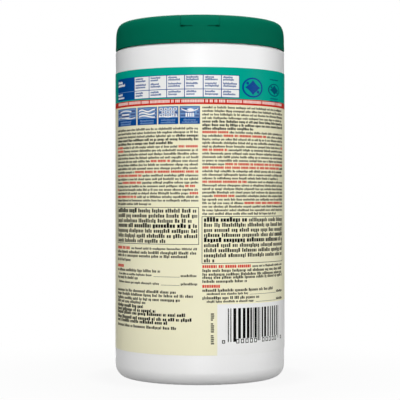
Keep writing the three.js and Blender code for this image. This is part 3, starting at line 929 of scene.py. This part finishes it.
def closure_section():
    under, deck_under = WELL_FLOOR - WELL_WALL, DECK - DECK_WALL
    recess_wall = RECESS_RADIUS + CAP_WALL
    section = [(0, under + PETAL_RISE), (PETAL_REACH, under), (WELL_FLOOR_RADIUS, under)]
    section += [(WELL_TOP + WELL_WALL, deck_under), (recess_wall, deck_under)]
    section += [(recess_wall, CAP_TOP - CAP_WALL)]
    section += reversed(skin(CAP_WALL, CAP_BOTTOM + 0.4))
    section += [(SKIRT_RADIUS - CAP_WALL + 0.2, CAP_BOTTOM), (SKIRT_RADIUS - 0.35, CAP_BOTTOM)]
    section += [(SKIRT_RADIUS - 0.1, CAP_BOTTOM + 0.1)] + skin(0, CAP_BOTTOM + 0.35)
    section += rounded((RECESS_RADIUS + TOP_FILLET, CAP_TOP - TOP_FILLET), TOP_FILLET, 90, 180)
    section += rounded((RECESS_RADIUS - DECK_FILLET, DECK + DECK_FILLET), DECK_FILLET, 0, -90)
    section += rounded((WELL_TOP + 0.6, DECK - WELL_LIP), WELL_LIP, 90, 170, 5)
    section += rounded((WELL_FLOOR_RADIUS - 1.9, WELL_FLOOR + WELL_FILLET), WELL_FILLET,
                       -10, -90, 5)
    section += [(PETAL_REACH, WELL_FLOOR), (PETAL_REACH * 0.5, WELL_FLOOR + PETAL_RISE * 0.7)]
    section += [(0, WELL_FLOOR + PETAL_RISE)]
    return section


def ring_tool(inner, outer, low, high):
    return spun_tool([(inner, low), (outer, low), (outer, high), (inner, high)])


BEAD_GAP = 0.4
LUG_CLEARANCE = 1.25
LUG_TIP = 0.4
LUG_ROOT = 1.2
LUG_HALF = 7


def lug_ring():
    top = BEAD_LOW - BEAD_GAP
    inner, outer = NECK_RADIUS + LUG_CLEARANCE, SKIRT_RADIUS - CAP_WALL / 2
    hoop = spun_tool([(inner, top), (inner, top - LUG_TIP), (outer - 0.4, top - LUG_ROOT),
                      (outer, top - LUG_ROOT), (outer, top)])
    bars = None
    for pair in range(3):
        bar = box_tool((-LUG_HALF, -60, CAP_BOTTOM), (LUG_HALF, 60, top + 1))
        bar.data.transform(Matrix.Rotation(math.pi * pair / 3, 4, "Z"))
        bars = bar if bars is None else combine(bars, bar, "UNION")
    return combine(hoop, bars, "INTERSECT")


PLUG_RADIUS = MOUTH_RADIUS - 0.6
PLUG_WALL = 1.2
PLUG_REACH = 4
LAND_RADIUS = (NECK_RADIUS + MOUTH_RADIUS) / 2
LAND_HALF = 0.4
LAND_GAP = 0.3
closure = new_object("closure", spun(closure_section()))
plug = ring_tool(PLUG_RADIUS - PLUG_WALL, PLUG_RADIUS, NECK_TOP - PLUG_REACH, CAP_TOP - 0.7)
combine(closure, plug, "UNION")
land = ring_tool(LAND_RADIUS - LAND_HALF, LAND_RADIUS + LAND_HALF, NECK_TOP + LAND_GAP,
                 CAP_TOP - 1.0)
combine(closure, land, "UNION")
combine(closure, lug_ring(), "UNION")
print("closure shell", len(closure.data.polygons), "faces")

# %% [markdown]
# The leaf of the lid lies in a pocket at the back and the thumb tab in another at the
# front. Each pocket is a thicker patch of wall with the space cut out of it, so the
# closure has a floor under the leaf and stays shut. A ball makes the thumb scoop.

# %% Pockets, scoop and reliefs
LEAF_HALF = 11.25
SIDE_GAP = 0.15
POCKET_HALF = LEAF_HALF + SIDE_GAP
POCKET_FLOOR = LID_WALL + FLIP_GAP
SLIT = 0.5
LEDGE = HINGE_HEIGHT - SLIT / 2
LID_RADIUS = RECESS_RADIUS - 0.7
TAB_HALF = 11.0
TAB_END = LID_RADIUS + 7.3
RELIEF_WIDTH = 2.3
RELIEF_HEIGHT = 1.2
PATCH_DEPTH = 0.3
PATCH_WALL = 1.2
SCOOP_RADIUS = 9.0
SCOOP_WALL = 1.2
FAR = 80


def pocket_space(low, high):
    return combine(box_tool(low, high), skin_tool(POCKET_FLOOR, HOLLOW_FOOT), "DIFFERENCE")


def relief_windows():
    """The two openings beside the hinge, cut through the closure and the lid alike."""
    low, high = HINGE_HEIGHT - RELIEF_HEIGHT / 2, HINGE_HEIGHT + RELIEF_HEIGHT / 2
    left, right = (box_tool((near, -FAR, low), (near + RELIEF_WIDTH, -MOUTH_RADIUS, high))
                   for near in (-POCKET_HALF, POCKET_HALF - RELIEF_WIDTH))
    return combine(left, right, "UNION")


def scoop_ball(radius):
    bm = bmesh.new()
    place = Matrix.Translation(Vector((0, CAP_RADIUS + 1.5, CAP_TOP + 2)) * MM)
    bmesh.ops.create_uvsphere(bm, u_segments=48, v_segments=32, radius=radius * MM, matrix=place)
    return new_object("tool", bm)


wall, above = CAP_WALL, CAP_TOP + 1
for low, high in (((-POCKET_HALF - wall, -FAR, LEDGE - wall),
                   (POCKET_HALF + wall, -RECESS_RADIUS, above)),
                  ((-TAB_HALF - wall, RECESS_RADIUS, DECK),
                   (TAB_HALF + wall, TAB_END + wall, above))):
    combine(closure, skin_band(PATCH_DEPTH, POCKET_FLOOR + PATCH_WALL, low, high), "UNION")
bowl = combine(scoop_ball(SCOOP_RADIUS + SCOOP_WALL), skin_tool(PATCH_DEPTH, SOLID_FOOT),
               "INTERSECT")
combine(closure, bowl, "UNION")
for low, high in (((-POCKET_HALF, -FAR, LEDGE), (POCKET_HALF, -WELL_TOP, above)),
                  ((-TAB_HALF - SIDE_GAP, WELL_TOP, DECK),
                   (TAB_HALF + SIDE_GAP, TAB_END + SIDE_GAP, above))):
    combine(closure, pocket_space(low, high), "DIFFERENCE")
combine(closure, scoop_ball(SCOOP_RADIUS), "DIFFERENCE")
combine(closure, relief_windows(), "DIFFERENCE")
print("closure with pockets", len(closure.data.polygons), "faces")

# %% [markdown]
# The orifice is a small hole with slits between springy petals, which grip the wipe as it
# is torn off.

# %% Star-cut orifice
ORIFICE = 5.5
PETALS = 6
PETAL_SLIT = 0.9
below, over = WELL_FLOOR - 3, WELL_FLOOR + 3
star = spun_tool([(0, below), (ORIFICE, below), (ORIFICE, over), (0, over)], 48)
for petal in range(PETALS):
    slit = box_tool((0, -PETAL_SLIT / 2, WELL_FLOOR - 2.8),
                    (PETAL_REACH, PETAL_SLIT / 2, WELL_FLOOR + 2.8))
    slit.data.transform(Matrix.Rotation(2 * math.pi * (petal + 0.5) / PETALS, 4, "Z"))
    combine(star, slit, "UNION")
combine(closure, star, "DIFFERENCE")

# %% [markdown]
# Each moulding gets its plastic when its shape is complete, as the only material in its
# list. A narrow bevel puts the small radius of a real mould on every true edge.

# %% Finish the closure
MOULD_RADIUS = 0.16
TRUE_EDGE = math.radians(38)


def finish_moulding(obj, body, replaces):
    obj.data.materials.clear()
    obj.data.materials.append(CAP_GREEN)
    finish_piece(obj, body, replaces)
    bevel = obj.modifiers.new("moulded_radius", "BEVEL")
    bevel.width = MOULD_RADIUS * MM
    bevel.segments = 2
    bevel.limit_method = "ANGLE"
    bevel.angle_limit = TRUE_EDGE
    bevel.harden_normals = True


finish_moulding(closure, "closure", "closure_base")

# %% [markdown]
# ## The flip lid
#
# The lid is cut from the same skin as the closure. Its outline, seen from above, is a disc
# with a leaf running back to the hinge and a rounded tab at the front, so a prism of that
# outline is intersected with the outer wall. A rim and a sealing ring go on underneath.

# %% Cut the lid from the skin
TAB_CORNER = 4.0


def prism(outline, low, high):
    """A closed prism of a flat outline given in millimetres."""
    bm = bmesh.new()
    face = bm.faces.new([bm.verts.new((x * MM, y * MM, low * MM)) for x, y in outline])
    made = bmesh.ops.extrude_face_region(bm, geom=[face])["geom"]
    verts = [v for v in made if isinstance(v, bmesh.types.BMVert)]
    bmesh.ops.translate(bm, verts=verts, vec=(0, 0, (high - low) * MM))
    bmesh.ops.recalc_face_normals(bm, faces=bm.faces[:])
    return new_object("tool", bm)


def lid_outline():
    """Counterclockwise from the leaf's right corner, past the tab, and back."""
    leaf_joint = math.degrees(math.asin(LEAF_HALF / LID_RADIUS))
    tab_joint = math.degrees(math.asin(TAB_HALF / LID_RADIUS))
    corner = (TAB_HALF - TAB_CORNER, TAB_END - TAB_CORNER)
    points = [(-LEAF_HALF, -FAR), (LEAF_HALF, -FAR)]
    points += rounded((0, 0), LID_RADIUS, leaf_joint - 90, 90 - tab_joint, 60)
    points += rounded(corner, TAB_CORNER, 0, 90, 8)
    points += rounded((-corner[0], corner[1]), TAB_CORNER, 90, 180, 8)
    points += rounded((0, 0), LID_RADIUS, 90 + tab_joint, 270 - leaf_joint, 60)
    return points


LEAF_BOTTOM = HINGE_HEIGHT + SLIT / 2
lid = combine(skin_tool(0, SOLID_FOOT), skin_tool(LID_WALL, HOLLOW_FOOT), "DIFFERENCE")
lid.name = "lid"
combine(lid, prism(lid_outline(), LEAF_BOTTOM, CAP_TOP + 5), "INTERSECT")
RIM = LID_RADIUS - 0.8
RIM_WALL = 1.4
SEAL = WELL_TOP - 0.8 - 1.2
SEAL_WALL = 1.2
SEAL_REACH = 1.4
combine(lid, ring_tool(RIM - RIM_WALL, RIM, DECK + FLIP_GAP, CAP_TOP - 0.7), "UNION")
combine(lid, ring_tool(SEAL - SEAL_WALL, SEAL, DECK - SEAL_REACH, CAP_TOP - 0.7), "UNION")
combine(lid, relief_windows(), "DIFFERENCE")
finish_moulding(lid, "lid", "flip_lid")

# %% [markdown]
# The two halves are joined by a thin web that bends each time the lid opens. It crosses
# the joint, so it is one small piece of its own, which rides on neither the closure's body nor the
# lid's.

# %% Living hinge
WEB_HALF = 4.65
WEB_INSET = 0.2
WEB_OVERLAP = 0.3
WEB_THICKNESS = 0.45


def bridged(bm, rows):
    """Faces between each row of edges and the next."""
    for low, high in zip(rows, rows[1:]):
        bmesh.ops.bridge_loops(bm, edges=low + high)
    bmesh.ops.recalc_face_normals(bm, faces=bm.faces[:])


def hinge_web(columns=12, levels=8):
    bm = bmesh.new()
    radius = CAP_RADIUS - WEB_INSET
    low, rise = LEDGE - WEB_OVERLAP, SLIT + 2 * WEB_OVERLAP
    across = [-WEB_HALF + 2 * WEB_HALF * i / columns for i in range(columns + 1)]
    bridged(bm, [chain(bm, [(x, -math.sqrt(radius ** 2 - x ** 2), low + rise * i / levels)
                            for x in across])[1] for i in range(levels + 1)])
    bmesh.ops.solidify(bm, geom=bm.faces[:], thickness=WEB_THICKNESS * MM)
    return bm


web = new_object("hinge_web", hinge_web(), [CAP_GREEN])
web.data.polygons.foreach_set("use_smooth", [True] * len(web.data.polygons))
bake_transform(web)

# %% [markdown]
# ## The wipes
#
# The wipes are a nonwoven cloth: fibres pressed together, with no weave, and small dimples
# from the roller. It is damp and matt, so it gets a soft sheen and little gloss.

# %% Nonwoven cloth
FIBRE_SCALE = 260
DIMPLE_SCALE = 620


def cloth(name, colour):
    """Tangled fibres shade the colour, and give the bump together with small dimples."""
    material, nodes, links = new_material(name)
    shader = nodes["Principled BSDF"]
    set_values(shader, Sheen_Weight=0.25, Specular_IOR_Level=0.25, Roughness=0.9)
    place = nodes.new("ShaderNodeTexCoord")
    fibres, dimples = nodes.new("ShaderNodeTexNoise"), nodes.new("ShaderNodeTexVoronoi")
    set_values(fibres, Scale=FIBRE_SCALE, Detail=8, Roughness=0.7, Distortion=1.2)
    set_values(dimples, Scale=DIMPLE_SCALE)
    for pattern in (fibres, dimples):
        links.new(place.outputs["Object"], pattern.inputs["Vector"])
    tone = nodes.new("ShaderNodeMix")
    tone.data_type = "RGBA"
    set_values(tone, A=linear([value * 0.9 for value in colour]), B=linear(colour))
    links.new(fibres.outputs["Fac"], tone.inputs["Factor"])
    links.new(tone.outputs["Result"], shader.inputs["Base Color"])
    height = nodes.new("ShaderNodeMath")
    links.new(fibres.outputs["Fac"], height.inputs[0])
    links.new(dimples.outputs["Distance"], height.inputs[1])
    bump = nodes.new("ShaderNodeBump")
    set_values(bump, Strength=0.7, Distance=0.25 * MM)
    links.new(height.outputs["Value"], bump.inputs["Height"])
    links.new(bump.outputs["Normal"], shader.inputs["Normal"])
    return material


WIPE_CLOTH = cloth("wipe_cloth", (246, 246, 243))

# %% [markdown]
# The roll is one long web wound on itself. A spiral of points, extruded upwards and given
# thickness, makes every turn at once. Cloth is never wound dead true, so the spiral wanders
# a little, and so does its top edge, by a smooth noise that is the same on each run.

# %% Wind the roll
ROLL_CORE = 10.0
ROLL_RADIUS = roll_high.x
ROLL_TURNS = 24
ROLL_STEPS = 60
TURN_GAP = 0.35
SIDE_WANDER = 0.22
TOP_WANDER = 0.6


def wound_roll():
    bm = bmesh.new()
    pitch = (ROLL_RADIUS - ROLL_CORE) / ROLL_TURNS
    points = []
    for i in range((ROLL_TURNS - 1) * ROLL_STEPS + 1):
        angle = 2 * math.pi * i / ROLL_STEPS
        x, y, turns = math.cos(angle), math.sin(angle), i / ROLL_STEPS
        radius = ROLL_CORE + pitch * (turns + 0.5)
        radius += SIDE_WANDER * noise.noise(Vector((x, y, turns * 0.4)))
        points.append((radius * x, radius * y, roll_low.z + 0.4))
    edges = chain(bm, points)[1]
    for v in swept(bm, edges, (0, 0, roll_high.z - roll_low.z)):
        wander = noise.noise(Vector((v.co.x, v.co.y, 0)) / MM * 0.11)
        v.co.z = (roll_high.z + TOP_WANDER * (wander - 1)) * MM
    bmesh.ops.recalc_face_normals(bm, faces=bm.faces[:])
    bmesh.ops.solidify(bm, geom=bm.faces[:], thickness=(pitch - TURN_GAP) * MM)
    bmesh.ops.recalc_face_normals(bm, faces=bm.faces[:])
    return bm


finish_piece(new_object("wound_wipes", wound_roll(), [WIPE_CLOTH]),
             "tub", "wipes_roll")

# %% [markdown]
# The first wipe is drawn up from the core, pinched by the petals, and stands in the well
# as a loose tuft. It is a thin sheet gathered into folds: a pleated ring at each height,
# tight at the orifice and open at both ends, bridged into one skin and given a thickness.

# %% Gather the first wipe
FOLDS = 7
TUFT_SIDES = 112
TUFT_LEVELS = 54
TUFT_TWIST = 2.2
TUFT_THICKNESS = 0.45


def tuft_stations():
    """Height, mean radius and fold depth along the gathered wipe."""
    pinch = WELL_FLOOR
    return [
        (tuft_low.z, 6.8, 0.16), (tuft_low.z + 6, 7.4, 0.18), (roll_high.z - 2, 6.9, 0.22),
        (roll_high.z + 6, 5.4, 0.3), (pinch - 6, 4.0, 0.34), (pinch - 1, 2.7, 0.36),
        (pinch + 1.5, 2.6, 0.36), (pinch + 3.5, 2.9, 0.38), (pinch + 5.5, 3.2, 0.4),
        (tuft_high.z - 0.9, 3.5, 0.4),
    ]


def tuft_at(share):
    """Smoothly between the stations, for a share of the way up."""
    stations = tuft_stations()
    place = share * (len(stations) - 1)
    i = min(int(place), len(stations) - 2)
    t = place - i
    t = t * t * (3 - 2 * t) * 0.5 + t * 0.5
    return [a + (b - a) * t for a, b in zip(stations[i], stations[i + 1])]


def tuft_ring(share):
    """Points of the pleated ring this share of the way up, with creases and a rough rim."""
    height, radius, depth = tuft_at(share)
    ring = []
    for side in range(TUFT_SIDES):
        angle = 2 * math.pi * side / TUFT_SIDES
        x, y = math.cos(angle), math.sin(angle)
        fold = math.cos(FOLDS * angle + 1.4 * math.sin(3 * angle + 5 * share))
        crease = noise.noise(Vector((x * 2.2, y * 2.2, share * 7)))
        out = radius * (1 + depth * fold + 0.16 * crease)
        turned = angle + TUFT_TWIST * share
        rim = 1.2 * noise.noise(Vector((x * 3, y * 3, 4))) * share ** 6
        ring.append((out * math.cos(turned), out * math.sin(turned), height + rim))
    return ring


def gathered_wipe():
    """The mesh of the wipe, and the area of its sheet in square metres."""
    bm = bmesh.new()
    bridged(bm, [chain(bm, tuft_ring(level / TUFT_LEVELS), closed=True)[1]
                 for level in range(TUFT_LEVELS + 1)])
    area = sum(face.calc_area() for face in bm.faces)
    bmesh.ops.solidify(bm, geom=bm.faces[:], thickness=TUFT_THICKNESS * MM)
    return bm, area


tuft_mesh, tuft_area = gathered_wipe()
tuft = finish_piece(new_object("gathered_wipe", tuft_mesh, [WIPE_CLOTH]),
                    "tub", "lead_wipe")

# %% [markdown]
# ## Floor, light and camera
#
# The floor is a plain pale plane. Close to the tub it is darker. This is a painted shade round
# the tub's foot: there the share of white drops a little and the floor's own grey is nearly
# black, so little of the real shadow shows through. Further out it turns to the white of the
# background, which only camera, glossy and transmission rays see, so the white adds no light
# to the object. The light that the floor throws back comes from its own grey. Its painted
# dark ring right beside the tub also darkens the bounce onto the tub's base.

# %% Floor and world
def seen_rays(nodes, links):
    """1 for the rays that should meet the white background, otherwise 0."""
    path = nodes.new("ShaderNodeLightPath")
    first, second = nodes.new("ShaderNodeMath"), nodes.new("ShaderNodeMath")
    first.operation = second.operation = "MAXIMUM"
    links.new(path.outputs["Is Camera Ray"], first.inputs[0])
    links.new(path.outputs["Is Glossy Ray"], first.inputs[1])
    links.new(first.outputs["Value"], second.inputs[0])
    links.new(path.outputs["Is Transmission Ray"], second.inputs[1])
    return second.outputs["Value"]


FLOOR_HALF = 20
SHADOW_REACH = (0.06, 0.22)
SHADOW_WHITE = 0.93
# Inside the first reach the floor's grey is nearly black. This is painted shade round the tub's
# foot, and it also darkens the light thrown back onto the base.
PAINTED_SHADE_REACH = (0.056, 0.076)
FLOOR_GREY_AND_PAINTED_SHADE = (0.04, 0.46)
WORLD_LIGHT = 0.09


def make_floor():
    bm = bmesh.new()
    bmesh.ops.create_grid(bm, x_segments=1, y_segments=1, size=FLOOR_HALF)
    material, nodes, links = new_material("floor_white")
    nodes.remove(nodes["Principled BSDF"])
    place, far = nodes.new("ShaderNodeTexCoord"), nodes.new("ShaderNodeVectorMath")
    far.operation = "LENGTH"
    links.new(place.outputs["Object"], far.inputs[0])
    # The second ramp gives the floor's grey, with its painted dark ring of shade beside the tub.
    fade, grey_and_painted_shade = (nodes.new("ShaderNodeMapRange") for _ in range(2))
    for ramp, reach, tones in ((fade, SHADOW_REACH, (SHADOW_WHITE, 1)),
                               (grey_and_painted_shade, PAINTED_SHADE_REACH, FLOOR_GREY_AND_PAINTED_SHADE)):
        ramp.interpolation_type = "SMOOTHSTEP"
        set_values(ramp, From_Min=reach[0], From_Max=reach[1], To_Min=tones[0], To_Max=tones[1])
        links.new(far.outputs["Value"], ramp.inputs["Value"])
    share = nodes.new("ShaderNodeMath")
    share.operation = "MULTIPLY"
    links.new(fade.outputs["Result"], share.inputs[0])
    links.new(seen_rays(nodes, links), share.inputs[1])
    matt, white = nodes.new("ShaderNodeBsdfDiffuse"), nodes.new("ShaderNodeEmission")
    mix = nodes.new("ShaderNodeMixShader")
    links.new(grey_and_painted_shade.outputs["Result"], matt.inputs["Color"])
    links.new(share.outputs["Value"], mix.inputs["Fac"])
    links.new(matt.outputs["BSDF"], mix.inputs[1])
    links.new(white.outputs["Emission"], mix.inputs[2])
    links.new(mix.outputs["Shader"], nodes["Material Output"].inputs["Surface"])
    new_object("floor", bm, [material])


def make_world(strength):
    world = bpy.data.worlds.new("studio")
    bpy.context.scene.world = world
    world.use_nodes = True
    nodes, links = world.node_tree.nodes, world.node_tree.links
    level = nodes.new("ShaderNodeMapRange")
    set_values(level, To_Min=strength, To_Max=1)
    links.new(seen_rays(nodes, links), level.inputs["Value"])
    set_values(nodes["Background"], Color=(1, 1, 1, 1))
    links.new(level.outputs["Result"], nodes["Background"].inputs["Strength"])


make_floor()
make_world(WORLD_LIGHT)

# %% [markdown]
# A pale tub in front of a white background would have washed-out edges, because a surface
# reflects far more at a glancing angle. A photographer stands a dark card on each side,
# just out of the picture. These two are seen by reflections only, so they block no light
# and no view shows them directly.

# %% Dark cards
CARD_NEAR = (125, -10)
CARD_FAR = (240, 600)
CARD_FOOT = 1
CARD_HEIGHT = 400


def dark_card(side):
    bm = bmesh.new()
    edges = chain(bm, [(side * x, y, CARD_FOOT) for x, y in (CARD_NEAR, CARD_FAR)])[1]
    swept(bm, edges, (0, 0, CARD_HEIGHT))
    card = new_object("dark_card_left" if side < 0 else "dark_card_right", bm, [CARD_BLACK])
    card.visible_camera = card.visible_diffuse = False
    card.visible_transmission = card.visible_shadow = False


CARD_BLACK = moulded("card_black", (22, 22, 22), specular=0)
for side in (-1, 1):
    dark_card(side)

# %% [markdown]
# The light comes from the front: a soft box behind the camera leaves the bright band down
# the middle of the tub, and a narrow one far to the right the fainter band there. A wide
# weak one fills the left edge. The light from above and the one behind keep the top
# and the other sides readable. The powers were found by lighting the tub with one lamp at
# a time and comparing each with the photograph's shading.

# %% Lamps
def soft_box(name, place, target, size, power):
    lamp = bpy.data.lights.new(name, "AREA")
    lamp.shape = "RECTANGLE"
    lamp.size, lamp.size_y = size
    lamp.energy = power
    obj = bpy.data.objects.new(name, lamp)
    bpy.context.scene.collection.objects.link(obj)
    obj.location = place
    obj.rotation_euler = (Vector(target) - Vector(place)).to_track_quat("-Z", "Y").to_euler()


MIDDLE = (0, 0, CAP_TOP / 2 * MM)
soft_box("key", (-0.06, -1.5, 0.2), MIDDLE, (0.3, 0.39), 11.8)
soft_box("left", (-1.2, -0.75, 0.26), MIDDLE, (0.7, 0.5), 1.2)
soft_box("right", (1.2, -0.23, 0.26), MIDDLE, (0.25, 0.5), 2.8)
soft_box("top", (0, -0.1, 1.3), MIDDLE, (0.9, 0.9), 13)
soft_box("behind", (0, 1.4, 0.85), MIDDLE, (0.8, 0.8), 18)

# %% [markdown]
# The photograph's verticals stay parallel and its curves bow evenly above and below the
# middle, so the camera stood level with the middle of the tub. The bow of the label's
# edges gives its distance, and the tub's width in the frame gives the lens.

# %% Camera
CAMERA_DISTANCE = 0.8303
EYE_HEIGHT = 0.1084
LENS = 120.6
SENSOR = 36.0
camera_data = bpy.data.cameras.new("camera")
camera_data.sensor_width = SENSOR
camera_data.lens = LENS
camera = bpy.data.objects.new("camera", camera_data)
bpy.context.scene.collection.objects.link(camera)
camera.location = (0, -CAMERA_DISTANCE, EYE_HEIGHT)
camera.rotation_euler = (math.radians(90), 0, 0)
bpy.context.scene.camera = camera
bpy.context.scene.view_settings.view_transform = "Standard"
